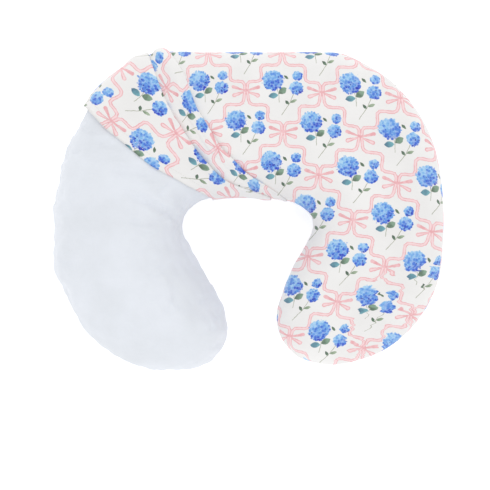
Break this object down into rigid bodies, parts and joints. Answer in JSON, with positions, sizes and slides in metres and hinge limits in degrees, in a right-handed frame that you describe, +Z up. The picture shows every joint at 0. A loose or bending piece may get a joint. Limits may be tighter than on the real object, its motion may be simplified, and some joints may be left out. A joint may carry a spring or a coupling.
{
  "type": "nursing pillow",
  "caption": "C-shaped stuffed nursing pillow in a zipped slip cover whose left sleeve is pushed back, with a waist hollow between two arms.",
  "frame": {"origin": "on the floor, under the middle of the pillow's outer box", "axes": "+X from the bare arm to the covered arm, +Y from the arms' ends to the crown, +Z up"},
  "size_m": [0.5605, 0.4555, 0.144],
  "materials": {
    "fibre_fill": "loose white polyester fibre",
    "white_cloth": "matt cool white polyester-cotton",
    "printed_cotton": "off-white cotton printed with blue flowers and pink ribbon bows",
    "label_satin": "blank white satin",
    "zip_tape": "off-white woven tape",
    "zip_coil": "off-white nylon",
    "zip_metal": "polished light metal"
  },
  "bodies": {
    "pillow": {"pillow_fill": "fibre_fill", "pillow_top_panel": "white_cloth", "pillow_bottom_panel": "white_cloth", "pillow_care_label": "label_satin", "cover_top_panel": "printed_cotton", "cover_bottom_panel": "printed_cotton", "cover_care_label": "label_satin", "zip_tape_upper": "zip_tape", "zip_tape_lower": "zip_tape", "zip_coil_upper": "zip_coil", "zip_coil_lower": "zip_coil", "zip_top_stop_upper": "zip_metal", "zip_top_stop_lower": "zip_metal", "zip_bottom_stop": "zip_metal"},
    "slider": {"zip_slider": "zip_metal"},
    "pull_tab": {"zip_pull_tab": "zip_metal"}
  },
  "joints": [
    {"name": "zip_travel", "type": "slide", "parent": "pillow", "child": "slider", "axis": [1, 0, 0], "range_m": [-0.15, 0]},
    {"name": "tab_swing", "type": "hinge", "parent": "slider", "child": "pull_tab", "pos_m": [0.104, 0.22719, 0.03857], "axis": [0, -0.3986, -0.9171], "range_deg": [0, 170]}
  ]
}
